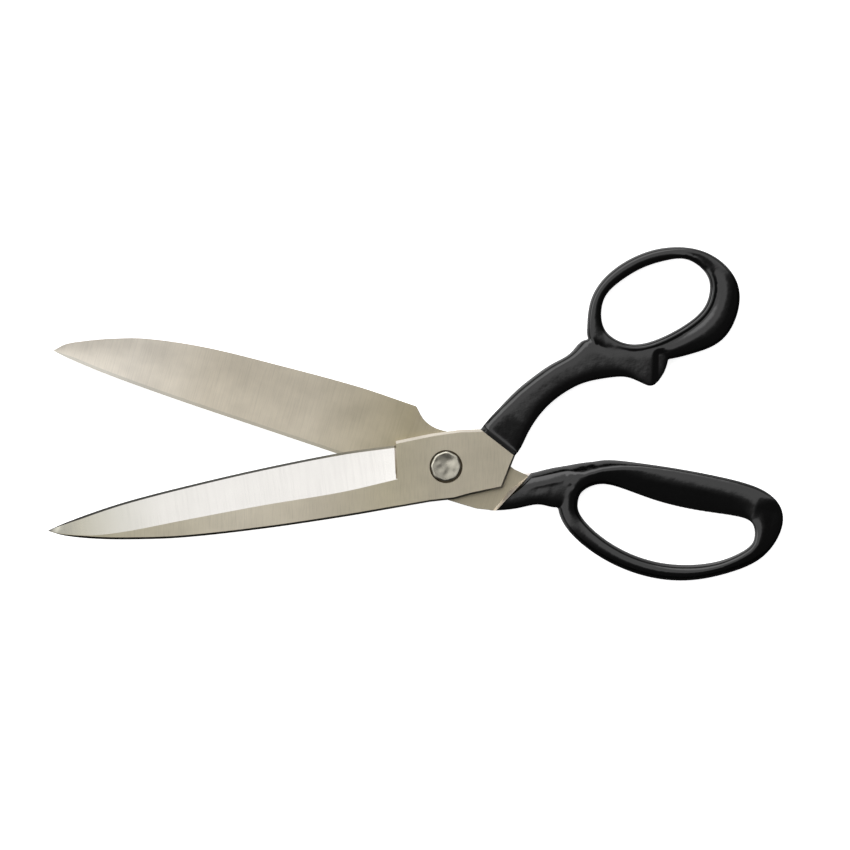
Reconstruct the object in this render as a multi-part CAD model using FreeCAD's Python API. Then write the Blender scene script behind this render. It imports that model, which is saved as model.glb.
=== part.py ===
"""Heavy-duty fabric shears with bent handles, about 318 mm long when closed, in millimetres.

The shears lie on their side with the blades pointing along -X. The pivot axis is Z through the
origin, and Z = 0 is the outer face of the rear half, which is the face they lie on. Each half is
drawn in its own blade frame, with the pivot at the origin and the blade tip on the -X axis, and
is then swung about Z to its place. With both swings at zero the shears are closed.

Each half is a forged frame that runs from the blade's back to the handle's core, a hard cutting
plate let into its inner face, and a black coat round the handle. A keyed bolt, a washer and a
nut join the halves.
"""

import FreeCAD
import Part
import math
import os

from FreeCAD import Vector

# Driving dimensions
HALF_THICKNESS = 5.2        # each half, where the pivot passes through it
FACE_GAP = 0.1              # between the two inner faces
FRONT_SWING = 9.07          # degrees that each half stands open from the closed line
REAR_SWING = -16.46
TIP_FRONT = Vector(-171.6, -0.3, 0)
TIP_REAR = Vector(-174.2, 0.0, 0)

COAT = 0.6                  # thickness of the black coat
PLATE_SHARE = 0.4           # part of the blade's thickness that is cutting plate
PLATE_END = -14.0           # where the cutting plate stops, just short of the pivot
PLATE_GAP = 4.5             # frame left behind the cutting plate, along the blade's back
HONE_WIDTH = 1.0            # the steep honed strip along each cutting edge
HONE_HEIGHT = 1.15
BACK_CHAMFER = 0.9
HOLLOW = 0.25               # depth of the hollow grind on each inner face
SHOULDER_X = -21.0          # where the blade's grind ends at the pivot block
GRIND_ROWS = 26
SHOULDER_SLANT = 0.1        # how far the shoulder runs back for each millimetre across
BLOCK_CHAMFER, BLOCK_DROP = 1.3, 0.6    # along the top edge of the front block

BOLT_R = 3.6
RUNNING_GAP = 0.05
HEAD_R, HEAD_HEIGHT = 6.4, 2.2
KEY_SIDE, KEY_HEIGHT = 7.6, 1.6
SEAT_R, SEAT_FLOOR = 6.95, 2.2      # recess for washer and nut, and the steel left under it
WASHER_R, WASHER_HEIGHT = 6.6, 0.6
NUT_R, NUT_PROUD = 6.4, 0.35
PEEN_R, PEEN_DEPTH = 4.5, 0.9       # the bolt's end, spread into the nut's countersink
DISH_R, DISH_DEPTH = 3.4, 0.45

# Heights that follow from them
REAR_INNER = HALF_THICKNESS
FRONT_INNER = HALF_THICKNESS + FACE_GAP
TOP = 2 * HALF_THICKNESS + FACE_GAP
SEAT_Z = FRONT_INNER + SEAT_FLOOR
NUT_Z = SEAT_Z + WASHER_HEIGHT
NUT_TOP = TOP + NUT_PROUD

# Blade stations: x, cutting edge, upper limit of the grind, back, thickness
FRONT_BLADE = [
    (SHOULDER_X, 12.3, -2.0, -13.9, 5.2),
    (-45.0, 12.8, -3.7, -14.2, 4.9),
    (-80.0, 11.5, -4.0, -13.8, 4.2),
    (-115.0, 9.0, -5.0, -12.1, 3.3),
    (-138.0, 6.7, -5.8, -9.3, 2.7),
    (-153.0, 4.3, -5.2, -6.6, 2.2),
    (-165.0, 1.7, -2.7, -3.4, 1.5),
    (-171.6, 0.3, -0.6, -1.0, 1.1),
]
REAR_BLADE = [
    (SHOULDER_X, -9.0, 5.0, 21.1, 5.2),
    (-45.0, -7.9, 6.0, 22.0, 4.9),
    (-80.0, -6.6, 7.0, 21.2, 4.2),
    (-113.0, -5.4, 8.5, 19.6, 3.3),
    (-138.0, -4.1, 10.0, 16.0, 2.7),
    (-153.0, -3.0, 8.8, 11.5, 2.2),
    (-164.0, -1.8, 5.2, 7.1, 1.6),
    (-170.5, -0.9, 2.2, 3.8, 1.2),
    (-174.2, -0.3, 0.4, 0.8, 1.1),
]

# Handle stations: one edge, the other edge, each as x, y, underside, upper side.
# The rings are closed and go round from outer edge to inner edge. The necks are open.
THUMB_RING = [
    ((134.8, 50.9, 1.2, 8.8), (122.8, 56.9, 1.6, 9.3)),
    ((132.0, 64.5, 1.2, 8.9), (122.0, 64.0, 1.4, 9.3)),
    ((122.0, 73.6, 1.0, 9.2), (115.5, 70.7, 1.0, 9.4)),
    ((108.4, 77.2, 1.0, 9.4), (106.0, 71.8, 1.0, 9.4)),
    ((94.5, 75.9, 1.0, 9.4), (95.0, 70.0, 1.0, 9.4)),
    ((81.2, 70.1, 1.0, 9.4), (83.8, 65.1, 1.0, 9.4)),
    ((72.1, 60.4, 1.0, 9.4), (77.2, 58.9, 1.0, 9.4)),
    ((68.6, 49.0, 1.0, 9.4), (75.3, 50.0, 1.0, 9.4)),
    ((73.5, 39.5, 1.0, 9.4), (78.6, 43.2, 1.0, 9.4)),
    ((84.0, 33.6, 1.0, 9.3), (86.6, 38.9, 1.0, 9.4)),
    ((98.5, 30.2, 1.0, 8.9), (97.5, 39.4, 1.2, 9.3)),
    ((112.0, 31.0, 1.2, 8.8), (109.6, 43.4, 1.5, 9.2)),
    ((126.2, 35.9, 1.2, 8.8), (118.9, 49.3, 1.6, 9.2)),
]
FINGER_RING = [
    ((144.6, 13.7, 0.9, 7.4), (134.5, 8.0, 0.9, 9.2)),
    ((141.8, 23.6, 0.8, 7.8), (132.6, 13.0, 1.0, 8.6)),
    ((131.0, 28.9, 0.8, 7.8), (126.1, 14.8, 1.4, 7.4)),
    ((113.0, 28.9, 0.8, 7.3), (109.5, 12.6, 1.6, 6.6)),
    ((94.0, 27.0, 0.8, 7.1), (91.5, 11.4, 1.6, 6.4)),
    ((76.0, 24.4, 0.8, 7.8), (76.0, 12.2, 1.4, 6.2)),
    ((61.5, 20.8, 0.9, 8.8), (65.2, 11.4, 1.2, 7.8)),
    ((51.5, 12.5, 1.2, 9.2), (58.9, 6.5, 1.0, 9.0)),
    ((49.2, 2.0, 1.0, 9.2), (58.1, 1.8, 1.0, 9.3)),
    ((54.0, -8.3, 0.8, 9.3), (60.5, -3.3, 0.8, 9.3)),
    ((66.1, -15.8, 0.8, 9.4), (69.9, -9.0, 0.8, 9.4)),
    ((81.5, -20.0, 0.7, 9.5), (83.3, -12.9, 0.7, 9.5)),
    ((98.0, -20.5, 0.7, 9.6), (97.5, -13.5, 0.7, 9.6)),
    ((114.0, -16.8, 0.7, 9.6), (111.0, -10.8, 0.7, 9.6)),
    ((128.5, -9.2, 0.8, 9.6), (123.6, -5.1, 0.8, 9.6)),
    ((140.0, 0.9, 0.9, 8.8), (132.5, 2.6, 0.9, 9.5)),
]
FRONT_NECK = [
    ((15.8, 12.2, 5.7, 8.6), (27.9, -1.2, 6.4, 8.4)),
    ((17.1, 13.5, 5.7, 8.5), (29.6, -0.2, 6.4, 8.4)),
    ((21.5, 17.4, 5.7, 8.8), (33.0, 3.2, 6.4, 8.7)),
    ((27.6, 22.1, 4.2, 9.4), (36.8, 8.7, 6.0, 9.3)),
    ((35.0, 27.5, 1.8, 9.6), (42.2, 14.8, 3.4, 9.5)),
    ((43.0, 32.1, 1.1, 9.6), (48.6, 19.8, 1.4, 9.5)),
    ((51.5, 36.1, 1.0, 9.5), (56.0, 23.6, 1.0, 9.4)),
    ((60.0, 39.5, 1.0, 9.4), (63.8, 25.9, 1.0, 9.4)),
    ((67.0, 42.7, 1.0, 9.4), (72.0, 26.6, 1.0, 9.4)),
    ((75.5, 41.2, 1.0, 9.3), (79.5, 26.0, 2.2, 9.3)),
    ((86.5, 37.6, 1.2, 9.2), (87.5, 26.3, 3.0, 9.2)),
    ((97.5, 36.5, 1.6, 9.0), (98.4, 30.5, 2.0, 8.8)),
]
REAR_NECK = [
    ((31.0, 6.6, 1.0, 8.2), (20.0, -13.2, 1.0, 9.4)),
    ((34.9, 7.3, 1.0, 8.2), (24.2, -12.4, 1.0, 9.4)),
    ((41.9, 11.3, 1.0, 8.2), (33.9, -8.6, 1.0, 9.4)),
    ((48.2, 14.5, 1.0, 8.2), (42.3, -4.4, 1.0, 9.4)),
    ((54.6, 17.8, 1.0, 8.2), (50.2, -2.8, 1.0, 9.3)),
    ((61.0, 20.4, 1.2, 8.0), (57.0, 2.0, 1.2, 9.0)),
]
# How square the cross-sections are
THUMB_SQUARE, FINGER_SQUARE, NECK_SQUARE = 2.6, 2.6, 3.8

# The stop spur under the thumb ring, in the front layer only
SPUR = [
    (80.0, 27.2), (85.6, 24.0), (90.2, 20.6), (91.6, 20.0), (93.0, 20.4), (94.6, 22.2),
    (96.8, 25.6), (98.2, 28.2), (100.4, 29.8), (101.0, 33.0), (84.0, 34.0),
]
SPUR_ROOT_LOW, SPUR_TIP_LOW, SPUR_HIGH = 5.3, 7.2, 9.1

# Straight limits across each half
FRONT_PAINT = (Vector(16.9, 13.4, 0), Vector(29.6, -0.2, 0))
REAR_PAINT = (Vector(25.7, -12.0, 0), Vector(34.8, 6.1, 0))
RISER_FOOT = (Vector(24.6, -12.1, 0), Vector(32.6, 6.8, 0))
RISER_LEAN = 0.8            # how far the riser leans back over its height
# Bevel that lets the front handle pass the rear one when the shears close
BEVEL_LINE = (Vector(30.0, -1.0, 0), Vector(36.9, 8.4, 0))
BEVEL_FOOT, BEVEL_LEAN = 6.0, 3.5

FRONT_BLOCK = [
    (-19.4, 14.1), (-3.7, 14.8), (8.3, 14.5), (16.9, 13.4), (29.6, -0.2), (27.4, -3.9),
    (22.2, -12.7), (8.2, -13.4), (1.5, -14.2), (-9.0, -13.7), (-22.6, -13.9),
]
REAR_BLOCK = [
    (34.8, 6.1), (25.7, -12.0), (17.5, -13.5), (10.6, -13.5), (-8.0, -13.3), (-17.0, -12.2),
    (-19.0, -9.0), (-19.4, 21.0),
]
REAR_EDGE_START = (-19.0, -9.0)
NOTCH_MIDDLE, NOTCH_END = (-14.0, 16.0), (-6.5, 14.3)
SWING_START, SWING_MIDDLE, SWING_END = (10.0, 15.0), (17.0, 13.2), (21.6, 9.6)


def spot(pair, z=0.0):
    return Vector(pair[0], pair[1], z)


def arc(a, b, c):
    return Part.Arc(a, b, c).toShape()


def lines(corners):
    """Straight edges from each corner to the next."""
    return [Part.makeLine(a, b) for a, b in zip(corners, corners[1:])]


def loop(corners):
    return Part.Wire(lines(corners + corners[:1]))


def prism(wire, low, high):
    """The closed outline, extruded from one height to another."""
    face = Part.Face(wire)
    face.translate(Vector(0, 0, low))
    return face.extrude(Vector(0, 0, high - low))


def cylinder(radius, low, high):
    return Part.makeCylinder(radius, high - low, Vector(0, 0, low))


def handle_side(cut, lean=0.0, low=-5.0, high=20.0, foot=0.0):
    """The space on the handle's side of a cut, whose face may lean back above its foot."""
    a, b = cut
    along = (b - a).normalize()
    out = Vector(abs(along.y), -along.x if along.y > 0 else along.x, 0)
    start = a - along * 60

    def corner(back, z):
        return start + out * back + Vector(0, 0, z)

    profile = [corner(0, foot), corner(lean, high), corner(300, high), corner(300, foot)]
    face = Part.Face(loop(profile))
    return face.extrude(along * 160)


def closing_bevel():
    """The space above the bevel, on the side that the front handle comes from."""
    a, b = BEVEL_LINE
    along = (b - a).normalize()
    out = Vector(along.y, -along.x, 0)
    start = a - along * 20
    high = BEVEL_FOOT + 6.0
    profile = [
        start + Vector(0, 0, BEVEL_FOOT), start + out * BEVEL_LEAN + Vector(0, 0, high),
        start - out * 20 + Vector(0, 0, high), start - out * 20 + Vector(0, 0, BEVEL_FOOT),
    ]
    return Part.Face(loop(profile)).extrude(along * 60)


def eased(stations, x):
    """Blade dimensions at x, on a smooth curve through the stations."""
    last = len(stations) - 2
    i = 0
    while i < last and x < stations[i + 1][0]:
        i += 1
    before, here = stations[max(i - 1, 0)], stations[i]
    after, beyond = stations[i + 1], stations[min(i + 2, last + 1)]
    t = (here[0] - x) / (here[0] - after[0])
    values = []
    for k in range(1, len(here)):
        slope_here = (after[k] - before[k]) / (after[0] - before[0])
        slope_after = (beyond[k] - here[k]) / (beyond[0] - here[0])
        run = after[0] - here[0]
        values.append(
            here[k] * (2 * t ** 3 - 3 * t ** 2 + 1) + slope_here * run * (t ** 3 - 2 * t ** 2 + t)
            + after[k] * (3 * t ** 2 - 2 * t ** 3) + slope_after * run * (t ** 3 - t ** 2)
        )
    return values


def grind_rows(stations):
    """Stations close together, from the shoulder to past the tip."""
    first, last = stations[0][0], stations[-1][0]
    rows = []
    for k in range(GRIND_ROWS + 1):
        x = first + (last - first) * k / GRIND_ROWS
        rows.append([x] + eased(stations, x))
    return rows + [[last - 8.0] + rows[-1][1:]]


def grind_tool(stations, inner, outward):
    """Everything that grinding removes above the blade's outer side."""
    sections = []
    for x, edge, border, back, thickness in grind_rows(stations):
        side = 1 if edge > back else -1
        small = max(0.15, min(1.0, abs(edge - back) / 9.0))
        chamfer = BACK_CHAMFER * small

        def at(y, height):
            return Vector(x + SHOULDER_SLANT * (y - border), y, inner + outward * height)

        sections.append(loop([
            at(edge + side * 9, -0.7 * HONE_HEIGHT * 9), at(edge, 0.0),
            at(edge - side * HONE_WIDTH * small, HONE_HEIGHT * small), at(border, thickness),
            at(back + side * chamfer, thickness), at(back, thickness - chamfer),
            at(back - side * 9, thickness - chamfer - 9), at(back - side * 9, 12.0),
            at(edge + side * 9, 12.0),
        ]))
    return Part.makeLoft(sections, True, True)


def hollow_tool(stations, inner, outward):
    """The shallow hollow ground into the inner face."""
    sections = []
    for x, edge, _, back, _ in grind_rows(stations):
        side = 1 if edge > back else -1
        width = abs(edge - back)
        depth = HOLLOW * min(1.0, width / 18.0) * min(1.0, 0.1 + (stations[0][0] - x) / 20.0)
        y_edge, y_back = edge - side * 0.07 * width, back + side * 0.07 * width
        a, b = Vector(x, y_edge, inner), Vector(x, y_back, inner)
        top = Vector(x, (y_edge + y_back) / 2, inner + outward * depth)
        low = Vector(0, 0, -outward)
        sections.append(Part.Wire([arc(a, top, b)] + lines([b, b + low, a + low, a])))
    return Part.makeLoft(sections, True, True)


def curve(pairs):
    """A smooth edge through the given points."""
    spline = Part.BSplineCurve()
    spline.interpolate([spot(p) for p in pairs])
    return spline.toShape()


def blade_outline(stations, tip, start_edge, start_back):
    """Edge and back curves of a blade that meet at its tip."""
    rows = stations[1:-1]
    edge = curve([start_edge] + [(r[0], r[1]) for r in rows] + [(tip.x, tip.y)])
    back = curve([(tip.x, tip.y)] + [(r[0], r[3]) for r in reversed(rows)] + [start_back])
    return [edge, back]


def plate_space(stations, inner, outward):
    """The space that the cutting plate takes up, from the edge to near the back."""
    rows = [(PLATE_END,) + stations[0][1:]] + stations
    rows.append((-180.0,) + stations[-1][1:])
    sections = []
    for x, edge, _, back, thickness in rows:
        side = 1 if edge > back else -1
        near_back = back + side * min(PLATE_GAP, 0.3 * abs(edge - back))
        far = edge + side * 8.0
        top = inner + outward * thickness * PLATE_SHARE
        base = inner - outward * 1.0
        corners = [
            Vector(x, near_back, base), Vector(x, far, base),
            Vector(x, far, top), Vector(x, near_back, top),
        ]
        sections.append(loop(corners))
    return Part.makeLoft(sections, True, True)


def section_point(station, angle, square, inset):
    """A point of a handle's cross-section, a fat oval between its two edges."""
    (x0, y0, low0, high0), (x1, y1, low1, high1) = station
    half_width = math.hypot(x1 - x0, y1 - y0) / 2
    c, s = math.cos(angle), math.sin(angle)
    fat = (abs(c) ** square + abs(s) ** square) ** (-1 / square)
    across = c * fat * (half_width - inset) / half_width
    share = (1 + across) / 2
    low = low0 + (low1 - low0) * share + inset
    high = high0 + (high1 - high0) * share - inset
    z = (low + high) / 2 + (high - low) / 2 * s * fat
    return Vector(x0 + (x1 - x0) * share, y0 + (y1 - y0) * share, z)


def section(station, square, inset, sides=16):
    return [
        section_point(station, 2 * math.pi * k / sides, square, inset) for k in range(sides)
    ]


def smooth_poles(rows, closed):
    """Poles of a cubic surface through a grid of points whose columns close on themselves."""
    n, m = len(rows), len(rows[0])

    def pole(grid, i, j):
        if closed or 0 <= i < n:
            return grid[i % n][j % m]
        end, inside = (0, 1) if i < 0 else (n - 1, n - 2)
        return grid[end][j % m] * 2 - grid[inside][j % m]

    def blend(grid, i, j):
        total = Vector()
        for di, wi in ((-1, 1), (0, 4), (1, 1)):
            for dj, wj in ((-1, 1), (0, 4), (1, 1)):
                total += pole(grid, i + di, j + dj) * (wi * wj / 36.0)
        return total

    poles = [list(row) for row in rows]
    for _ in range(30):
        poles = [
            [poles[i][j] + rows[i][j] - blend(poles, i, j) for j in range(m)]
            for i in range(n)
        ]
    if closed:
        return poles
    first = [(poles[0][j] * 2 + poles[1][j]) / 3 for j in range(m)]
    last = [(poles[-1][j] * 2 + poles[-2][j]) / 3 for j in range(m)]
    return [poles[0], first] + poles[1:-1] + [last, poles[-1]]


def tidy_solid(faces):
    shell = Part.Shell(faces)
    if len(faces) > 1:
        shell.sewShape()
    solid = Part.Solid(shell)
    if solid.Volume < 0:
        solid.reverse()
    return solid


def ring(stations, square, inset=0.0):
    """A closed ring whose cross-section changes smoothly from station to station."""
    rows = [section(s, square, inset, 12) for s in stations]
    n, m = len(rows), len(rows[0])
    surface = Part.BSplineSurface()
    surface.buildFromPolesMultsKnots(
        smooth_poles(rows, True), [1] * (n + 1), [1] * (m + 1), list(range(n + 1)),
        list(range(m + 1)), True, True, 3, 3,
    )
    return tidy_solid([surface.toShape()])


def neck(stations, inset=0.0):
    """A smooth bar through its cross-sections, cut off flat at both ends."""
    rows = [section(s, NECK_SQUARE, inset) for s in stations]
    n, m = len(rows), len(rows[0])
    surface = Part.BSplineSurface()
    surface.buildFromPolesMultsKnots(
        smooth_poles(rows, False), [4] + [1] * (n - 2) + [4], [1] * (m + 1), list(range(n)),
        list(range(m + 1)), False, True, 3, 3,
    )
    side = surface.toShape()
    ends = [Part.Face(Part.Wire([e])) for e in side.Edges if e.isClosed()]
    return tidy_solid([side] + ends)


def spur(inset=0.0):
    """The stop spur, with an underside that rises towards its tip."""
    whole = prism(loop([spot(p) for p in SPUR]), SPUR_ROOT_LOW - 2, SPUR_HIGH)
    wedge_side = [
        Vector(0, 40, SPUR_ROOT_LOW), Vector(0, 29.5, SPUR_ROOT_LOW),
        Vector(0, 27.4, SPUR_TIP_LOW), Vector(0, 19, SPUR_TIP_LOW), Vector(0, 19, -5),
        Vector(0, 40, -5),
    ]
    wedge = Part.Face(loop(wedge_side)).extrude(Vector(200, 0, 0))
    shape = whole.cut(wedge)
    if inset == 0.0:
        return shape
    return shape.makeOffsetShape(-inset, 0.001, join=2)


def front_handle(inset):
    return ring(THUMB_RING, THUMB_SQUARE, inset).fuse([neck(FRONT_NECK, inset), spur(inset)])


def rear_handle(inset):
    return ring(FINGER_RING, FINGER_SQUARE, inset).fuse(neck(REAR_NECK, inset))


def front_steel():
    """Pivot block and blade of the front half, ground to shape and chamfered along the top."""
    edge, back = blade_outline(FRONT_BLADE, TIP_FRONT, FRONT_BLOCK[0], FRONT_BLOCK[-1])
    outline = [edge, back] + lines([spot(p) for p in reversed(FRONT_BLOCK)])
    block = prism(Part.Wire(Part.__sortEdges__(outline)), FRONT_INNER, TOP)
    block = block.cut([
        grind_tool(FRONT_BLADE, FRONT_INNER, 1), hollow_tool(FRONT_BLADE, FRONT_INNER, 1),
    ])
    path = [spot(p, TOP) for p in FRONT_BLOCK[:4]]
    for a, b in zip(path, path[1:]):
        along = (b - a).normalize()
        inward = Vector(along.y, -along.x, 0)
        a2 = a - along * 1.5
        corners = [
            a2 - inward * 1 + Vector(0, 0, 0.5), a2 + inward * BLOCK_CHAMFER + Vector(0, 0, 0.5),
            a2 + inward * BLOCK_CHAMFER, a2 - Vector(0, 0, BLOCK_DROP),
            a2 - inward * 1 - Vector(0, 0, BLOCK_DROP),
        ]
        tool = Part.Face(loop(corners)).extrude(along * ((b - a).Length + 3.0))
        block = block.cut(tool)
    return block


def rear_steel():
    """Pivot block and blade of the rear half: notch, rounded hidden end and bottom edge."""
    edges = blade_outline(REAR_BLADE, TIP_REAR, REAR_EDGE_START, REAR_BLOCK[-1])
    corners = [spot(p) for p in REAR_BLOCK]
    edges += lines(corners[:-1])
    edges.append(arc(corners[-1], spot(NOTCH_MIDDLE), spot(NOTCH_END)))
    edges.append(Part.makeLine(spot(NOTCH_END), spot(SWING_START)))
    edges.append(arc(spot(SWING_START), spot(SWING_MIDDLE), spot(SWING_END)))
    edges += lines([spot(SWING_END), spot((28.3, 7.1)), spot((32.0, 6.6)), corners[0]])
    block = prism(Part.Wire(Part.__sortEdges__(edges)), 0.0, REAR_INNER)
    return block.cut([
        grind_tool(REAR_BLADE, REAR_INNER, -1), hollow_tool(REAR_BLADE, REAR_INNER, -1),
    ])


def key_prism(side, low, high):
    half = side / 2
    corners = [(half, half), (-half, half), (-half, -half), (half, -half)]
    return prism(loop([spot(p) for p in corners]), low, high)


def front_half():
    """Frame, cutting plate and coat of the front half, in its own blade frame."""
    beyond = handle_side(FRONT_PAINT)
    core = front_handle(COAT)
    coat = front_handle(0.0).common(beyond).cut(core)
    bare = front_steel().fuse(core)
    bore = cylinder(BOLT_R + RUNNING_GAP, FRONT_INNER - 1, TOP + 1)
    bare = bare.cut([bore, cylinder(SEAT_R, SEAT_Z, TOP + 1)])
    space = plate_space(FRONT_BLADE, FRONT_INNER, 1)
    return bare.cut(space), bare.common(space), coat


def rear_half():
    """Frame, cutting plate and coat of the rear half, in its own blade frame."""
    painted = handle_side(REAR_PAINT)
    raised = handle_side(RISER_FOOT, RISER_LEAN, high=12.0, foot=REAR_INNER)
    bevel = closing_bevel()
    full = rear_handle(0.0).cut(bevel)
    core = rear_handle(COAT).cut(bevel)
    coat = full.common(painted).cut(core)
    step = full.cut(painted).common(raised.fuse(handle_side(RISER_FOOT, high=REAR_INNER)))
    core = core.common(painted)
    bare = rear_steel().fuse([step, core])
    cuts = [
        cylinder(BOLT_R, -1, REAR_INNER + 1), cylinder(HEAD_R, -1, HEAD_HEIGHT),
        key_prism(KEY_SIDE, -1, HEAD_HEIGHT + KEY_HEIGHT),
    ]
    bare = bare.cut(cuts)
    space = plate_space(REAR_BLADE, REAR_INNER, -1)
    return bare.cut(space), bare.common(space), coat


def cone(radius_low, radius_high, low, high):
    return Part.makeCone(radius_low, radius_high, high - low, Vector(0, 0, low))


def pivot_bolt():
    """Flat head, square key, shank and a spread end with a shallow dish hammered into it."""
    top = NUT_TOP - 0.1
    body = cylinder(HEAD_R, 0, HEAD_HEIGHT).fuse([
        key_prism(KEY_SIDE, HEAD_HEIGHT, HEAD_HEIGHT + KEY_HEIGHT),
        cylinder(BOLT_R, HEAD_HEIGHT, top),
        cone(BOLT_R, PEEN_R, top - PEEN_DEPTH, top),
    ])
    ball = (DISH_R ** 2 + DISH_DEPTH ** 2) / (2 * DISH_DEPTH)
    return body.cut(Part.makeSphere(ball, Vector(0, 0, top - DISH_DEPTH + ball)))


def pivot_nut():
    """A round nut with a chamfered rim and a countersink for the bolt's spread end."""
    top = NUT_TOP - 0.1
    body = cylinder(NUT_R, NUT_Z, NUT_TOP - 0.5)
    body = body.fuse(cone(NUT_R, NUT_R - 0.9, NUT_TOP - 0.5, NUT_TOP))
    body = body.cut(cylinder(BOLT_R, NUT_Z - 1, NUT_TOP + 1))
    return body.cut([cone(BOLT_R, PEEN_R, top - PEEN_DEPTH, top), cylinder(PEEN_R, top, TOP + 2)])


def pivot_washer():
    body = cylinder(WASHER_R, SEAT_Z, NUT_Z)
    return body.cut(cylinder(BOLT_R + RUNNING_GAP, SEAT_Z - 1, NUT_Z + 1))


def swung(shape, angle):
    turned = shape.copy()
    turned.rotate(Vector(0, 0, 0), Vector(0, 0, 1), angle)
    return turned


def main():
    os.makedirs("parts", exist_ok=True)
    nodes = {}
    names = ("frame", "cutting_plate", "handle_enamel")
    for half, shapes, swing in (
        ("front", front_half(), FRONT_SWING),
        ("rear", rear_half(), REAR_SWING),
    ):
        for name, shape in zip(names, shapes):
            nodes[half + "_" + name] = swung(shape, swing)
    nodes["pivot_bolt"] = swung(pivot_bolt(), REAR_SWING)
    nodes["pivot_nut"] = pivot_nut()
    nodes["pivot_washer"] = pivot_washer()
    for name, shape in nodes.items():
        solids = shape.Solids
        clean = solids[0] if len(solids) == 1 else Part.makeCompound(solids)
        print(name, len(solids), clean.isValid(), [round(s.Volume, 1) for s in solids])
        clean.exportStep("parts/" + name + ".step")


main()
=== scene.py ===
"""Fabric shears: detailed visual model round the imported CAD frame."""
import bpy
import bmesh
import math
import numpy as np
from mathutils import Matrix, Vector


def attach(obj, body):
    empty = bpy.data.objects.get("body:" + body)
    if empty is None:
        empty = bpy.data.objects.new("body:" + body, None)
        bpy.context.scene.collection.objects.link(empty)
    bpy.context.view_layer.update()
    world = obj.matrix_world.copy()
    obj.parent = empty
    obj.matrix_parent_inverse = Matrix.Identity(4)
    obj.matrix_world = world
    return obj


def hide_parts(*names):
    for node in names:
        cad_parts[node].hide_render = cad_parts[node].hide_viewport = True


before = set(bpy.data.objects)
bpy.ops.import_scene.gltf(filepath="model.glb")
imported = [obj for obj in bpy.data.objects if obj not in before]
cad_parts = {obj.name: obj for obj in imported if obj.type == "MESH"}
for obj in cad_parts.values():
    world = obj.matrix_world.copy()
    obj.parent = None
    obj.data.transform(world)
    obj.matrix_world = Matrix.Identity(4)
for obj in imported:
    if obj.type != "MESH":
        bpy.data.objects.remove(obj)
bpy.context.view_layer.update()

MM = 0.001
FRONT_SWING = 9.07
REAR_SWING = -16.46
FRONT_INNER = 5.3
REAR_INNER = 5.2
TOP = 10.5
MIDDLE = 5.25

# ---------------------------------------------------------------- dimensions, in millimetres
# Blade stations: x, cutting edge, upper limit of the grind, back, thickness
FRONT_BLADE = [
    (-21.0, 12.3, -2.0, -13.9, 5.2), (-45.0, 12.8, -3.7, -14.2, 4.9),
    (-80.0, 11.5, -4.0, -13.8, 4.2), (-115.0, 9.0, -5.0, -12.1, 3.3),
    (-138.0, 6.7, -5.8, -9.3, 2.7), (-153.0, 4.3, -5.2, -6.6, 2.2),
    (-165.0, 1.7, -2.7, -3.4, 1.5), (-171.57, -0.2, -0.3, -0.4, 0.9),
]
REAR_BLADE = [
    (-21.0, -9.0, 5.0, 21.1, 5.2), (-45.0, -7.9, 6.0, 22.0, 4.9),
    (-80.0, -6.6, 7.0, 21.2, 4.2), (-113.0, -5.4, 8.5, 19.6, 3.3),
    (-138.0, -4.1, 10.0, 16.0, 2.7), (-153.0, -3.0, 8.8, 11.5, 2.2),
    (-164.0, -1.8, 5.2, 7.1, 1.6), (-170.5, -0.9, 2.2, 3.8, 1.2),
    (-174.2, -0.1, 0.0, 0.1, 0.9),
]
PLATE_SHARE = 0.4
PLATE_GAP = 4.5
HONE_WIDTH, HONE_HEIGHT = 1.0, 1.15
BACK_CHAMFER = 0.9
HOLLOW = 0.25
SHOULDER_SLANT = 0.1
LAND = 1.4

FRONT_BLOCK = [
    (-19.4, 14.1), (-3.7, 14.8), (8.3, 14.5), (16.9, 13.4), (29.6, -0.2), (27.4, -3.9),
    (22.2, -12.7), (8.2, -13.4), (1.5, -14.2), (-9.0, -13.7), (-22.6, -13.9),
]
SEAT_R, SEAT_Z, BOLT_R, HEAD_R, HEAD_HEIGHT = 6.95, 7.5, 3.6, 6.4, 2.2
NUT_R, NUT_Z, NUT_TOP = 6.4, 8.1, 10.85
PEEN_R = 4.5

THUMB_RING = [
    ((134.8, 50.9, 1.2, 8.8), (122.8, 56.9, 1.6, 9.3)),
    ((132.0, 64.5, 1.2, 8.9), (122.0, 64.0, 1.4, 9.3)),
    ((122.0, 73.6, 1.0, 9.2), (115.5, 70.7, 1.0, 9.4)),
    ((108.4, 77.2, 1.0, 9.4), (106.0, 71.8, 1.0, 9.4)),
    ((94.5, 75.9, 1.0, 9.4), (95.0, 70.0, 1.0, 9.4)),
    ((81.2, 70.1, 1.0, 9.4), (83.8, 65.1, 1.0, 9.4)),
    ((72.1, 60.4, 1.0, 9.4), (77.2, 58.9, 1.0, 9.4)),
    ((68.6, 49.0, 1.0, 9.4), (75.3, 50.0, 1.0, 9.4)),
    ((70.2, 41.6, 1.0, 9.4), (78.6, 43.2, 1.0, 9.4)),
    ((84.0, 33.6, 1.0, 9.3), (86.6, 38.9, 1.0, 9.4)),
    ((98.5, 30.2, 1.0, 8.9), (97.5, 39.4, 1.2, 9.3)),
    ((112.0, 31.0, 1.2, 8.8), (109.6, 43.4, 1.5, 9.2)),
    ((126.2, 35.9, 1.2, 8.8), (118.9, 49.3, 1.6, 9.2)),
]
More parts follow.
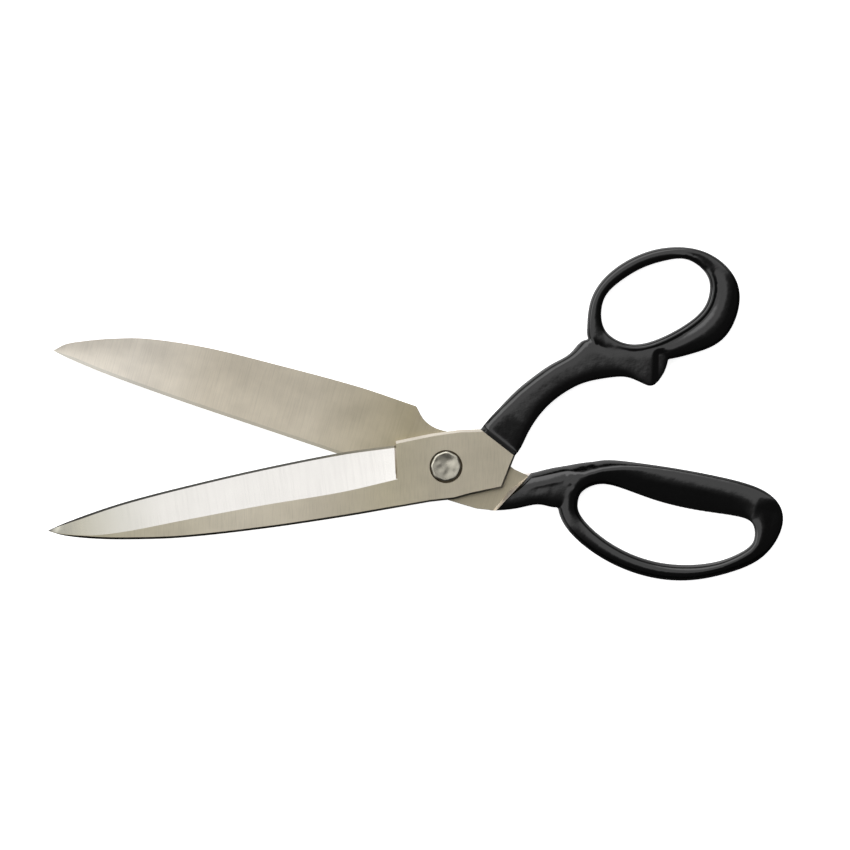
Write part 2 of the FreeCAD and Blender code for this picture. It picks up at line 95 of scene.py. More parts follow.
# Crests near the upper edges of the rear handle and of the front neck
REAR_CREST = [
    (33.5, 3.2), (36.5, 4.9), (39.8, 6.6), (47.4, 10.7), (50.5, 12.2), (53.7, 12.6), (57.0, 13.4),
    (63.3, 17.2), (71.1, 20.5), (79.3, 23.2), (91.9, 25.6), (104.9, 26.6), (118.0, 27.4),
    (130.0, 27.4), (139.0, 26.0), (146.0, 22.0),
]
FRONT_CREST = [
    (19.4, 12.6), (28.6, 20.6), (36.0, 26.0), (43.8, 30.5), (52.1, 34.5), (60.6, 37.9),
    (66.5, 40.6),
]
# How steeply the faces fall away above those crests: on the crest itself, then at the outer side
FRONT_CREST_FALL, REAR_CREST_FALL = (0.42, 0.5), (0.43, 0.55)
# Small notch beside the thumb bow, its depth along x, and its half width
NOTCH_LINE = [(69.6, 42.8), (78.0, 35.6)]
NOTCH_X, NOTCH_DEPTH = [70.5, 72.0, 73.5, 77.0], [0.0, 0.75, 0.75, 0.0]
NOTCH_WIDTH = 1.0
# The spur's face falls away to the right of this line
SPUR_RIDGE = [(92.1, 18.0), (92.1, 20.8), (94.8, 34.7), (95.2, 37.0)]
SPUR_FALL, SPUR_LIMIT, SPUR_TOP, SPUR_END = 0.42, 0.9, 35.6, 100.8
# Spots where neck and ring are blended: x, y, radius
FRONT_SOFT = [(71.5, 40.5, 5.5), (78.0, 36.5, 5.0), (122.0, 67.5, 5.0)]
REAR_SOFT = [(50.5, 2.0, 6.0), (51.5, 8.0, 6.0), (54.5, 14.5, 6.5), (58.5, 17.5, 5.5)]
# Small dents in the rear coat: x, y, radius, depth
REAR_DENTS = [
    (53.0, 10.6, 1.2, 0.2), (50.6, 8.6, 1.3, 0.15), (53.4, 7.0, 1.1, 0.15),
]
# Inner rim of the finger bow's far end; the face falls away outside it
END_RIM = [(118.0, -8.2), (123.6, -5.1), (131.0, 2.6), (131.6, 8.0), (130.2, 14.0), (130.0, 28.0)]
END_FALL, END_FROM, END_TO = 0.27, 1.3, 9.0
# The rear neck steps down across this line
REAR_STEP = [(34.0, -0.6), (39.5, 2.4), (44.5, 5.0), (50.5, 8.0)]
STEP_DEPTH = 0.25
# How strongly each thumb station shows the rim line
THUMB_RIM = [1.0, 1.0, 0.55, 0.1, 0.0, 0.0, 0.0, 0.0, 0.15, 0.45, 0.8, 1.0, 1.0]
FINGER_RING = [
    ((144.6, 13.7, 0.9, 7.4), (134.5, 8.0, 0.9, 9.2)),
    ((141.8, 23.6, 0.8, 7.8), (132.6, 13.0, 1.0, 8.6)),
    ((131.0, 28.9, 0.8, 7.8), (126.1, 14.8, 1.4, 7.4)),
    ((113.0, 28.9, 0.8, 7.3), (109.5, 12.6, 1.6, 6.6)),
    ((94.0, 27.0, 0.8, 7.1), (91.5, 11.4, 1.6, 6.4)),
    ((76.0, 24.4, 0.8, 7.8), (76.0, 12.2, 1.4, 6.2)),
    ((61.5, 20.8, 0.9, 8.8), (65.2, 11.4, 1.2, 7.8)),
    ((51.5, 12.5, 1.2, 9.2), (58.9, 6.5, 1.0, 9.2)),
    ((49.2, 2.0, 1.0, 9.2), (58.1, 1.8, 1.0, 9.3)),
    ((54.0, -8.3, 0.8, 9.3), (60.5, -3.3, 0.8, 9.3)),
    ((66.1, -15.8, 0.8, 9.4), (69.9, -9.0, 0.8, 9.4)),
    ((81.5, -20.0, 0.7, 9.5), (83.3, -12.9, 0.7, 9.5)),
    ((98.0, -20.5, 0.7, 9.6), (97.5, -13.5, 0.7, 9.6)),
    ((114.0, -16.8, 0.7, 9.6), (111.0, -10.8, 0.7, 9.6)),
    ((128.5, -9.2, 0.8, 9.6), (123.6, -5.1, 0.8, 9.6)),
    ((140.0, 0.9, 0.9, 8.8), (132.5, 2.6, 0.9, 9.5)),
]
FRONT_NECK = [
    ((15.8, 12.2, 5.7, 8.6), (27.9, -1.2, 6.4, 8.4)),
    ((17.1, 13.5, 5.7, 8.5), (29.6, -0.2, 6.4, 8.4)),
    ((21.5, 17.4, 5.7, 8.8), (33.0, 3.2, 6.4, 8.7)),
    ((27.6, 22.1, 4.2, 9.4), (36.8, 8.7, 6.0, 9.3)),
    ((35.0, 27.5, 1.8, 9.6), (42.2, 14.8, 3.4, 9.5)),
    ((43.0, 32.1, 1.1, 9.6), (48.6, 19.8, 1.4, 9.5)),
    ((51.5, 36.1, 1.0, 9.5), (56.0, 23.6, 1.0, 9.4)),
    ((60.0, 39.5, 1.0, 9.4), (63.8, 25.9, 1.0, 9.4)),
    ((66.7, 43.9, 1.0, 9.4), (72.0, 26.4, 1.0, 9.4)),
    ((75.5, 41.2, 1.0, 9.3), (79.5, 26.0, 2.2, 9.3)),
    ((81.5, 39.4, 2.0, 9.3), (84.2, 24.3, 5.0, 9.3)),
    ((86.0, 38.0, 3.0, 9.2), (88.0, 21.7, 7.4, 9.2)),
    ((89.6, 37.2, 4.0, 9.2), (91.6, 20.0, 7.9, 9.1)),
    ((92.6, 36.9, 4.0, 9.1), (95.4, 21.9, 7.8, 9.0)),
    ((95.8, 36.7, 3.5, 9.0), (98.7, 26.0, 7.4, 8.8)),
    ((98.8, 36.5, 2.0, 8.9), (100.6, 30.2, 4.0, 8.2)),
]
REAR_NECK = [
    ((31.0, 6.6, 1.0, 9.2), (20.0, -13.2, 1.0, 9.4)),
    ((34.9, 7.3, 1.0, 9.2), (24.2, -12.4, 1.0, 9.4)),
    ((41.9, 11.3, 1.0, 9.3), (33.9, -8.6, 1.0, 9.4)),
    ((48.2, 14.5, 1.0, 9.3), (42.3, -4.4, 1.0, 9.4)),
    ((54.4, 17.6, 1.0, 9.0), (49.4, -3.6, 1.0, 9.2)),
    ((60.0, 20.0, 1.2, 8.8), (53.6, 0.0, 1.2, 9.3)),
]
# How square each cross-section is; the limb of the finger bow is flatter than its thin arc
THUMB_SQUARE = [2.6] * 13
FINGER_SQUARE = [2.6, 2.8, 3.0, 3.0, 3.0, 2.6, 2.2, 2.2] + [1.95] * 7 + [2.2]
FRONT_NECK_SQUARE, REAR_NECK_SQUARE = 3.8, 4.5
# How strongly each finger station shows the knee of the broad limb
FINGER_KNEE = [0.0, 0.4, 0.9, 1.0, 1.0, 0.8, 0.3] + [0.0] * 9
FRONT_PAINT = ((16.9, 13.4), (29.6, -0.2))
REAR_PAINT = ((25.7, -12.0), (34.8, 6.1))
RISER_FOOT = ((24.6, -12.1), (32.6, 6.8))
# Bevel that lets the front handle pass the rear one when the shears close
BEVEL_LINE, BEVEL_FOOT, BEVEL_TILT = ((30.0, -1.0), (36.9, 8.4)), 5.9, 0.58
RISER_TILT = 0.5
# Dark spot at the riser's upper corner, in the dark grime-and-shade steel: x, y, radius
DARK_SPOT = (32.8, 4.6, 0.75)
# Line of painted shade in the corner where the grind meets the front block
CORNER_Y, CORNER_STEPS = (-1.8, 12.2), 6
CORNER_X, CORNER_LEAN, CORNER_DROP = -21.24, 0.1143, 4.05 / 13.3
# Hammer blows on the nut: x, y, radius, depth
BLOWS = [
    (0.8, 2.6, 2.3, 1.0), (1.4, -1.4, 1.9, 0.45), (-2.2, -0.6, 1.6, 0.3),
    (2.9, 2.4, 1.5, 0.30), (0.3, -3.2, 1.4, 0.25), (-3.4, 2.2, 1.2, 0.22),
    (3.6, -2.2, 1.2, 0.2), (-1.0, 4.4, 1.3, 0.25), (4.4, 0.4, 1.0, 0.15),
]
BLOW_STRENGTH = 0.5
NUT_EDGE, NUT_EDGE_DROP, FACE_DEPTH = 0.9, 0.55, 0.1
VOXEL = 0.4
RING_POINTS = 72
HOLE_EDGE, OUTER_EDGE = 0, RING_POINTS // 2

# Finishes, in the order of each half's steel slots
SATIN, POLISHED, SHADED_HONED, CROSS_GROUND, LAND_GROUND, SHADED_BROKEN_EDGE, BACK_EDGE_DIRT_AND_SHADE, LIT_RISER, GRIME_AND_SHADE = range(9)


# ---------------------------------------------------------------- mesh helpers
def place(points, swing):
    """Millimetres in a half's own frame to metres in the row frame."""
    a = math.radians(swing)
    p = np.array(points, float).reshape(-1, 3)
    x = p[:, 0] * math.cos(a) - p[:, 1] * math.sin(a)
    y = p[:, 0] * math.sin(a) + p[:, 1] * math.cos(a)
    return np.stack([x, y, p[:, 2]], 1) * MM


def mark_sharp(mesh, angle):
    """Hard edges at steep angles and wherever two finishes meet."""
    bm = bmesh.new()
    bm.from_mesh(mesh)
    for e in bm.edges:
        hard = len(e.link_faces) != 2 or e.calc_face_angle(0.0) > math.radians(angle)
        e.smooth = not (hard or e.link_faces[0].material_index != e.link_faces[1].material_index)
    bm.to_mesh(mesh)
    bm.free()


def make_object(name, points, faces, swing, materials, face_slots=None, sharp=26.0):
    """An object from points in a half's own frame, with outward normals and sharp edges marked."""
    mesh = bpy.data.meshes.new(name)
    mesh.from_pydata([tuple(p) for p in place(points, swing)], [], [tuple(f) for f in faces])
    for m in materials:
        mesh.materials.append(m)
    if face_slots is not None:
        mesh.polygons.foreach_set("material_index", face_slots)
    bm = bmesh.new()
    bm.from_mesh(mesh)
    bmesh.ops.recalc_face_normals(bm, faces=bm.faces)
    bm.to_mesh(mesh)
    bm.free()
    mesh.shade_smooth()
    mark_sharp(mesh, sharp)
    obj = bpy.data.objects.new(name, mesh)
    bpy.context.scene.collection.objects.link(obj)
    return obj


def use(obj, modifier_kind, **settings):
    """Adds a modifier and applies it."""
    m = obj.modifiers.new(modifier_kind.title(), modifier_kind)
    for key, value in settings.items():
        setattr(m, key, value)
    dg = bpy.context.evaluated_depsgraph_get()
    mesh = bpy.data.meshes.new_from_object(obj.evaluated_get(dg), depsgraph=dg)
    obj.modifiers.clear()
    old = obj.data
    obj.data = mesh
    bpy.data.meshes.remove(old)
    return obj


def eased(stations, x):
    """The station values at x, by a smooth curve through the stations."""
    last = len(stations) - 2
    i = 0
    while i < last and x < stations[i + 1][0]:
        i += 1
    before, here = stations[max(i - 1, 0)], stations[i]
    after, beyond = stations[i + 1], stations[min(i + 2, last + 1)]
    run = after[0] - here[0]
    t = (x - here[0]) / run
    values = []
    for k in range(1, len(here)):
        slope_here = (after[k] - before[k]) / (after[0] - before[0])
        slope_after = (beyond[k] - here[k]) / (beyond[0] - here[0])
        values.append(
            here[k] * (2 * t ** 3 - 3 * t ** 2 + 1) + slope_here * run * (t ** 3 - 2 * t ** 2 + t)
            + after[k] * (3 * t ** 2 - 2 * t ** 3) + slope_after * run * (t ** 3 - t ** 2)
        )
    return values


def blade_rows(stations, count=110):
    """Evenly spaced rows between the first and the last station."""
    first, last = stations[0][0], stations[-1][0]
    rows = []
    for k in range(count + 1):
        x = first + (last - first) * k / count
        rows.append([x] + eased(stations, x))
    return rows


def skin(sections, slots):
    """Quads between closed sections of equal size, with both ends capped."""
    n, m = len(sections), len(sections[0])
    points = [p for s in sections for p in s]
    faces, face_slots = [], []
    for i in range(n - 1):
        for j in range(m):
            k = (j + 1) % m
            faces.append((i * m + j, i * m + k, (i + 1) * m + k, (i + 1) * m + j))
            face_slots.append(slots[j])
    faces.append(tuple(range(m)))
    face_slots.append(slots[0])
    faces.append(tuple((n - 1) * m + j for j in reversed(range(m))))
    face_slots.append(slots[0])
    return points, faces, face_slots


def blade_sections(stations, inner, outward, part, slant=0.0):
    """Cross-sections of a blade's frame or of its cutting plate."""
    sections = []
    start = stations[0][0]
    for x, edge, border, back, t in blade_rows(stations):
        side = 1 if edge > back else -1
        width = abs(edge - back)
        small = min(1.0, width / 9.0)
        c = BACK_CHAMFER * small
        near = back + side * min(PLATE_GAP, 0.3 * width)
        hone = (edge - side * HONE_WIDTH * small, HONE_HEIGHT * small)
        ptop = max(t * PLATE_SHARE, hone[1] + 0.12 * (t - hone[1]))
        f = (ptop - hone[1]) / (t - hone[1])
        g = (hone[0] + (border - hone[0]) * f, ptop)
        depth = HOLLOW * min(1.0, width / 18.0) * min(1.0, (start - x) / 20.0)

        def hollow(y):
            s = (y - back) / (edge - back)
            s = max(0.0, min(1.0, (s - 0.07) / 0.86))
            return depth * 4 * s * (1 - s)

        if part == "frame":
            flat = [g]
            for k in range(1, 5):
                flat.append((g[0] + (border - g[0]) * k / 4, ptop + (t - ptop) * k / 4))
            for k in range(5):
                a = math.radians(90 * k / 4)
                cx, cy = back + side * c, t - c
                flat.append((cx - side * c * math.sin(a), cy + c * math.cos(a)))
            flat.append((back, 0.0))
            flat.append((near, hollow(near)))
            flat.append((near, ptop))
        else:
            flat = [(edge, 0.0), hone]
            for k in (1, 2):
                flat.append((hone[0] + (g[0] - hone[0]) * k / 2,
                             hone[1] + (g[1] - hone[1]) * k / 2))
            flat.append((near, ptop))
            flat.append((near, hollow(near)))
            land = edge - side * LAND * small
            for k in range(1, 9):
                y = near + (land - near) * k / 8
                flat.append((y, hollow(y)))
        sections.append([
            (x + slant * (y - border) * min(1.0, width / 9.0), y, inner + outward * h)
            for y, h in flat
        ])
    return sections


# The back rounding takes the dark back-edge steel, painted shade
FRAME_SLOTS = [POLISHED] * 4 + [SATIN] + [BACK_EDGE_DIRT_AND_SHADE] * 4 + [SATIN, CROSS_GROUND, SATIN, SATIN]
# The honed strip takes the darkened honed steel, painted shade along the cutting edge
PLATE_SLOTS = [SHADED_HONED, POLISHED, POLISHED] + [CROSS_GROUND] * 10 + [LAND_GROUND]


def circle(r, z, n=96):
    """n points round the pivot axis."""
    return [(r * math.cos(2 * math.pi * k / n), r * math.sin(2 * math.pi * k / n), z)
            for k in range(n)]


def offset_loop(corners, widths):
    """Moves each side of a counter-clockwise or clockwise outline inward by its own width."""
    n = len(corners)
    area = sum(corners[i][0] * corners[(i + 1) % n][1] - corners[(i + 1) % n][0] * corners[i][1]
               for i in range(n))
    turn = 1 if area > 0 else -1
    sides = []
    for i in range(n):
        (x0, y0), (x1, y1) = corners[i], corners[(i + 1) % n]
        length = math.hypot(x1 - x0, y1 - y0)
        nx, ny = -(y1 - y0) / length * turn, (x1 - x0) / length * turn
        sides.append((nx, ny, nx * x0 + ny * y0 + widths[i]))
    result = []
    for i in range(n):
        a, b = sides[i - 1], sides[i]
        det = a[0] * b[1] - a[1] * b[0]
        if abs(det) < 0.05:
            x, y = corners[i]
            result.append((x + b[0] * widths[i], y + b[1] * widths[i]))
        else:
            result.append(((a[2] * b[1] - b[2] * a[1]) / det, (a[0] * b[2] - b[0] * a[2]) / det))
    return result


def block_parts(outline, low, high, widths, drop, top_bore, low_bore, slot_of):
    """A flat block with broken edges on its upper side and a stepped bore through it."""
    bm = bmesh.new()

    def ring_verts(points):
        return [bm.verts.new(p) for p in points]

    def wall(a, b, slot):
        n = len(a)
        for i in range(n):
            j = (i + 1) % n
            bm.faces.new((a[i], a[j], b[j], b[i])).material_index = slot

    def fill(outer, inner_loop, slot):
        edges = []
        for loop in (outer, inner_loop):
            for i in range(len(loop)):
                v, w = loop[i], loop[(i + 1) % len(loop)]
                edges.append(bm.edges.get((v, w)) or bm.edges.new((v, w)))
        made = bmesh.ops.triangle_fill(bm, use_beauty=True, edges=edges)
        for f in made["geom"]:
            if isinstance(f, bmesh.types.BMFace):
                f.material_index = slot

    n = len(outline)
    top_loop = offset_loop(outline, widths)
    drops = [max(drop[i - 1], drop[i]) for i in range(n)]
    base = ring_verts([(x, y, low) for x, y in outline])
    middle = ring_verts([(x, y, high - drops[i]) for i, (x, y) in enumerate(outline)])
    top = ring_verts([(x, y, high) for x, y in top_loop])
    for i in range(n):
        j = (i + 1) % n
        bm.faces.new((base[i], base[j], middle[j], middle[i])).material_index = slot_of["side"]
        bm.faces.new((middle[i], middle[j], top[j], top[i])).material_index = slot_of["chamfer"][i]
    loops = [ring_verts(circle(r, z)) for r, z in top_bore + low_bore]
    fill(top, loops[0], slot_of["top"])
    for a, b in zip(loops, loops[1:]):
        wall(a, b, slot_of["bore"])
    fill(base, loops[-1], slot_of["low"])
    bmesh.ops.recalc_face_normals(bm, faces=bm.faces)
    points = [tuple(v.co) for v in bm.verts]
    bm.verts.index_update()
    faces = [tuple(v.index for v in f.verts) for f in bm.faces]
    slots = [f.material_index for f in bm.faces]
    bm.free()
    return points, faces, slots


def section(station, square):
    """A rounded, squarish loop that spans a station's two edge points."""
    (x0, y0, low0, high0), (x1, y1, low1, high1) = station
    angle = 2 * math.pi * np.arange(RING_POINTS) / RING_POINTS
    c, s = np.cos(angle), np.sin(angle)
    fat = (np.abs(c) ** square + np.abs(s) ** square) ** (-1 / square)
    share = (1 + c * fat) / 2
    low = low0 + (low1 - low0) * share
    high = high0 + (high1 - high0) * share
    z = (low + high) / 2 + (high - low) / 2 * s * fat
    return np.stack([x0 + (x1 - x0) * share, y0 + (y1 - y0) * share, z], 1)


def spline_rows(rows, closed, per):
    """Uniform cubic interpolation through rows of points, per steps between stations."""
    rows = np.array(rows)
    n = len(rows)
    a = np.zeros((n, n))
    for i in range(n):
        for d, w in ((-1, 1 / 6), (0, 4 / 6), (1, 1 / 6)):
            k = i + d
            if closed or 0 <= k < n:
                a[i, k % n] += w
            else:
                end, inside = (0, 1) if k < 0 else (n - 1, n - 2)
                a[i, end] += 2 * w
                a[i, inside] -= w
    poles = np.linalg.solve(a, rows.reshape(n, -1)).reshape(rows.shape)
    if closed:
        ext = np.concatenate([poles[-1:], poles, poles[:2]])
        spans = n
    else:
        ext = np.concatenate([[2 * poles[0] - poles[1]], poles, [2 * poles[-1] - poles[-2]]])
        spans = n - 1
    out = []
    for i in range(spans):
        for k in range(per):
            t = k / per
            b = ((1 - t) ** 3 / 6, (3 * t ** 3 - 6 * t ** 2 + 4) / 6,
                 (-3 * t ** 3 + 3 * t ** 2 + 3 * t + 1) / 6, t ** 3 / 6)
            out.append(sum(w * ext[i + j] for j, w in enumerate(b)))
    if not closed:
        out.append(rows[-1])
    return np.array(out)


def grid_mesh(grid, closed):
    """Quads over rows of loops; closed joins the last row to the first, else both are capped."""
    n, m = grid.shape[:2]
    points = [tuple(p) for p in grid.reshape(-1, 3)]
    faces = []
    for i in range(n if closed else n - 1):
        for j in range(m):
            k, l = (j + 1) % m, (i + 1) % n
            faces.append((i * m + j, i * m + k, l * m + k, l * m + j))
    if not closed:
        faces.append(tuple(range(m)))
        faces.append(tuple((n - 1) * m + j for j in reversed(range(m))))
    return points, faces


def merged(parts):
    """Several (points, faces) pairs as one."""
    points, faces = [], []
    for p, f in parts:
        base = len(points)
        points += list(p)
        faces += [tuple(i + base for i in q) for q in f]
    return points, faces


def rim_groove(gap):
    """Fall of the thumb bow's face at a distance from the hole: a raised lip, then a valley."""
    valley = np.where(gap < 3.0, np.exp(-((gap - 3.0) / 0.7) ** 2),
                      np.exp(-((gap - 3.0) / 2.3) ** 2))
    return 0.95 * valley - 0.1 * np.exp(-((gap - 1.6) / 0.7) ** 2)


def limb_knee(gap):
    """Fall of the broad limb at a distance from its outer edge: flat, then down to the hole."""
    return 0.3 * soft_step(gap, 7.3, 0.5)


def soft_step(d, start, width):
    """Zero before start, then rising with slope 1, with a soft corner."""
    return width * np.logaddexp(0, (d - start) / width)


def lowered(z, fall, foot=1.5, crown=9.3):
    """Presses the upper side down by fall, in proportion to the height above the foot."""
    share = np.clip((z - foot) / (crown - foot), 0, 1)
    return z - np.minimum(fall, 0.8 * (crown - foot)) * share


def ring_parts(stations, squares, shape, edge, weights, per=14):
    """A closed ring; shape gives the fall of its face from one edge, scaled by the weights."""
    rows = [section(s, q) for s, q in zip(stations, squares)]
    grid = spline_rows(rows, True, per)
    weight = spline_rows([[[w]] for w in weights], True, per)[:, 0, 0]
    gap = np.linalg.norm(grid[:, :, :2] - grid[:, edge:edge + 1, :2], axis=2)
    fall = shape(gap) * np.clip(weight, 0, 1)[:, None]
    above = np.clip(2 * np.sin(2 * np.pi * np.arange(RING_POINTS) / RING_POINTS), 0, 1)
    grid[:, :, 2] = lowered(grid[:, :, 2], fall * above[None, :])
    return grid_mesh(grid, True)


def neck_parts(stations, square, per=12):
    """An open, capped stretch of handle."""
    rows = [section(s, square) for s in stations]
    return grid_mesh(spline_rows(rows, False, per), False)


def past_line(xy, line):
    """Signed distance from a line of points, positive on its upper side."""
    best = np.full(len(xy), 1e9)
    signed = np.zeros(len(xy))
    for (x0, y0), (x1, y1) in zip(line, line[1:]):
        a, ab = np.array([x0, y0]), np.array([x1 - x0, y1 - y0])
        t = np.clip(((xy - a) @ ab) / (ab @ ab), 0, 1)
        gap = xy - (a + t[:, None] * ab)
        far = np.linalg.norm(gap, axis=1)
        side = np.sign(ab[0] * gap[:, 1] - ab[1] * gap[:, 0])
        closer = far < best
        best = np.where(closer, far, best)
        signed = np.where(closer, far * side, signed)
    return signed


def cut_side(cut):
    """A point on a cut and the unit normal that points along the handle."""
    (x0, y0), (x1, y1) = cut
    length = math.hypot(x1 - x0, y1 - y0)
    nx, ny = (y1 - y0) / length, -(x1 - x0) / length
    if nx < 0:
        nx, ny = -nx, -ny
    return np.array([x0, y0]), np.array([nx, ny])


def turned_back(co, swing):
    """Millimetres in the row frame to millimetres in a half's own frame."""
    a = math.radians(-swing)
    x = co[:, 0] * math.cos(a) - co[:, 1] * math.sin(a)
    y = co[:, 0] * math.sin(a) + co[:, 1] * math.cos(a)
    return np.stack([x, y, co[:, 2]], 1)


def local_points(obj, swing):
    """The object's vertices in a half's own frame."""
    co = np.zeros(len(obj.data.vertices) * 3, np.float32)
    obj.data.vertices.foreach_get("co", co)
    return turned_back(co.reshape(-1, 3) / MM, swing)


def set_points(obj, points, swing):
    """Writes vertices back from a half's own frame."""
    obj.data.vertices.foreach_set("co", place(points, swing).astype(np.float32).ravel())
    obj.data.update()


def trim(obj, point, normal, swing, z=0.0, tilt=0.0):
    """Cuts the object flat and keeps the side that the normal points away from."""
    a = math.radians(swing)
    c, s = math.cos(a), math.sin(a)
    p = Vector((point[0] * c - point[1] * s, point[0] * s + point[1] * c, z)) * MM
    n = Vector((normal[0] * c - normal[1] * s, normal[0] * s + normal[1] * c, tilt))
    bm = bmesh.new()
    bm.from_mesh(obj.data)
    cut = bmesh.ops.bisect_plane(
        bm, geom=bm.verts[:] + bm.edges[:] + bm.faces[:], plane_co=p, plane_no=n,
        clear_outer=True, dist=1e-7,
    )
    edges = [g for g in cut["geom_cut"] if isinstance(g, bmesh.types.BMEdge)]
    bmesh.ops.holes_fill(bm, edges=edges, sides=0)
    bm.to_mesh(obj.data)
    bm.free()
    obj.data.shade_smooth()
    obj.data.set_sharp_from_angle(angle=math.radians(40))


def clay(name, parts, swing, material):
    """Overlapping closed shells fused into one smooth skin."""
    points, faces = merged(parts)
    obj = make_object(name, points, faces, swing, [material])
    use(obj, "REMESH", mode="VOXEL", voxel_size=VOXEL * MM)
    use(obj, "SMOOTH", factor=0.5, iterations=6)
    obj.data.materials.clear()
    obj.data.materials.append(material)
    obj.data.shade_smooth()
    return obj


def soften(obj, swing, spots, rounds=40):
    """Smooths the skin round a few spots, each as x, y, radius in the half's own frame."""
    co = local_points(obj, swing)
    weight = np.zeros(len(co))
    for x, y, radius in spots:
        far = np.hypot(co[:, 0] - x, co[:, 1] - y)
        weight = np.maximum(weight, np.clip(1.6 - 1.6 * far / radius, 0, 1))
    group = obj.vertex_groups.new(name="soft")
    for step in range(1, 11):
        members = np.nonzero(np.ceil(weight * 10).astype(int) == step)[0]
        group.add(members.tolist(), step / 10, "REPLACE")
    use(obj, "SMOOTH", factor=0.5, iterations=rounds, vertex_group="soft")
    obj.vertex_groups.clear()


# ---------------------------------------------------------------- materials
BLADE_LENGTH = 0.175    # metres, for the tints along the blades


def new_material(name):
    """A node material with one Principled shader; gives the material, its tree and the shader."""
    m = bpy.data.materials.new(name)
    m.use_nodes = True
    nt = m.node_tree
    nt.nodes.clear()
    out = nt.nodes.new("ShaderNodeOutputMaterial")
    bsdf = nt.nodes.new("ShaderNodeBsdfPrincipled")
    nt.links.new(bsdf.outputs[0], out.inputs[0])
    return m, nt, bsdf


def add(nt, kind, **inputs):
    """A node with some inputs set by name."""
    node = nt.nodes.new(kind)
    for key, value in inputs.items():
        node.inputs[key.replace("_", " ")].default_value = value
    return node


def coordinates(nt, swing, scale):
    """Position on the object in metres, turned into a half's own frame and scaled."""
    coord = nt.nodes.new("ShaderNodeTexCoord")
    turn = nt.nodes.new("ShaderNodeMapping")
    turn.inputs["Rotation"].default_value = (0, 0, math.radians(-swing))
    stretch = nt.nodes.new("ShaderNodeMapping")
    stretch.inputs["Scale"].default_value = scale
    nt.links.new(coord.outputs["Object"], turn.inputs["Vector"])
    nt.links.new(turn.outputs[0], stretch.inputs["Vector"])
    return stretch.outputs[0]


def ramp(nt, source, stops):
    """A colour ramp over a source, from (position, colour) stops."""
    node = nt.nodes.new("ShaderNodeValToRGB")
    cr = node.color_ramp
    while len(cr.elements) < len(stops):
        cr.elements.new(0.5)
    for e, (pos, col) in zip(cr.elements, stops):
        e.position = pos
        e.color = (*col, 1)
    nt.links.new(source, node.inputs[0])
    return node.outputs[0]


def grey(v):
    return (v, v, v)


def multiplied(nt, a, b):
    """The product of two colours."""
    node = nt.nodes.new("ShaderNodeMix")
    node.data_type = "RGBA"
    node.blend_type = "MULTIPLY"
    node.inputs["Factor"].default_value = 1.0
    nt.links.new(a, node.inputs[6])
    nt.links.new(b, node.inputs[7])
    return node.outputs[2]


def brushed(name, colour, rough, swing, scale, contrast=0.06, bump=0.25, cloud=0.05, along=None):
    """Ground or brushed steel: a grain direction, faint clouding and a brightness ramp along its
    length, which on the bevel and the edges is painted shade.
    """
    m, nt, bsdf = new_material(name)
    bsdf.inputs["Metallic"].default_value = 1.0
    grain = add(nt, "ShaderNodeTexNoise", Scale=1.0, Detail=4.0, Roughness=0.65)
    nt.links.new(coordinates(nt, swing, scale), grain.inputs["Vector"])
    clouds = add(nt, "ShaderNodeTexNoise", Scale=1.0, Detail=3.0, Roughness=0.5)
    nt.links.new(coordinates(nt, swing, (60, 90, 60)), clouds.inputs["Vector"])
    lo = tuple(c * (1 - contrast * 2) for c in colour)
    hi = tuple(min(1.0, c * (1 + contrast)) for c in colour)
    base = ramp(nt, grain.outputs["Fac"], [(0.3, lo), (0.5, colour), (0.72, hi)])
    shade = ramp(nt, clouds.outputs["Fac"], [(0.35, grey(1 - cloud * 2)), (0.65, grey(1.0))])
    tinted = multiplied(nt, base, shade)
    if along:
        place_x = nt.nodes.new("ShaderNodeSeparateXYZ")
        nt.links.new(coordinates(nt, swing, (-1 / BLADE_LENGTH, 1, 1)), place_x.inputs[0])
        tinted = multiplied(nt, tinted, ramp(nt, place_x.outputs["X"], along))
    nt.links.new(tinted, bsdf.inputs["Base Color"])
    r = ramp(nt, grain.outputs["Fac"], [(0.3, grey(rough * 0.85)), (0.7, grey(rough * 1.2))])
    nt.links.new(r, bsdf.inputs["Roughness"])
    b = add(nt, "ShaderNodeBump", Strength=bump, Distance=0.00002)
    nt.links.new(grain.outputs["Fac"], b.inputs["Height"])
    nt.links.new(b.outputs[0], bsdf.inputs["Normal"])
    return m


def enamel(name, swing):
    """Glossy black enamel with a slight ripple."""
    m, nt, bsdf = new_material(name)
    peel = add(nt, "ShaderNodeTexNoise", Scale=1.0, Detail=2.0, Roughness=0.5)
    nt.links.new(coordinates(nt, swing, (350, 350, 350)), peel.inputs["Vector"])
    dust = add(nt, "ShaderNodeTexNoise", Scale=1.0, Detail=5.0, Roughness=0.7)
    nt.links.new(coordinates(nt, swing, (1400, 1400, 1400)), dust.inputs["Vector"])
    base = ramp(nt, dust.outputs["Fac"], [(0.4, grey(0.0006)), (0.8, grey(0.003))])
    nt.links.new(base, bsdf.inputs["Base Color"])
    r = ramp(nt, peel.outputs["Fac"], [(0.3, grey(0.09)), (0.7, grey(0.15))])
    nt.links.new(r, bsdf.inputs["Roughness"])
    bsdf.inputs["Specular IOR Level"].default_value = 0.6
    b = add(nt, "ShaderNodeBump", Strength=0.45, Distance=0.00012)
    nt.links.new(peel.outputs["Fac"], b.inputs["Height"])
    nt.links.new(b.outputs[0], bsdf.inputs["Normal"])
    return m
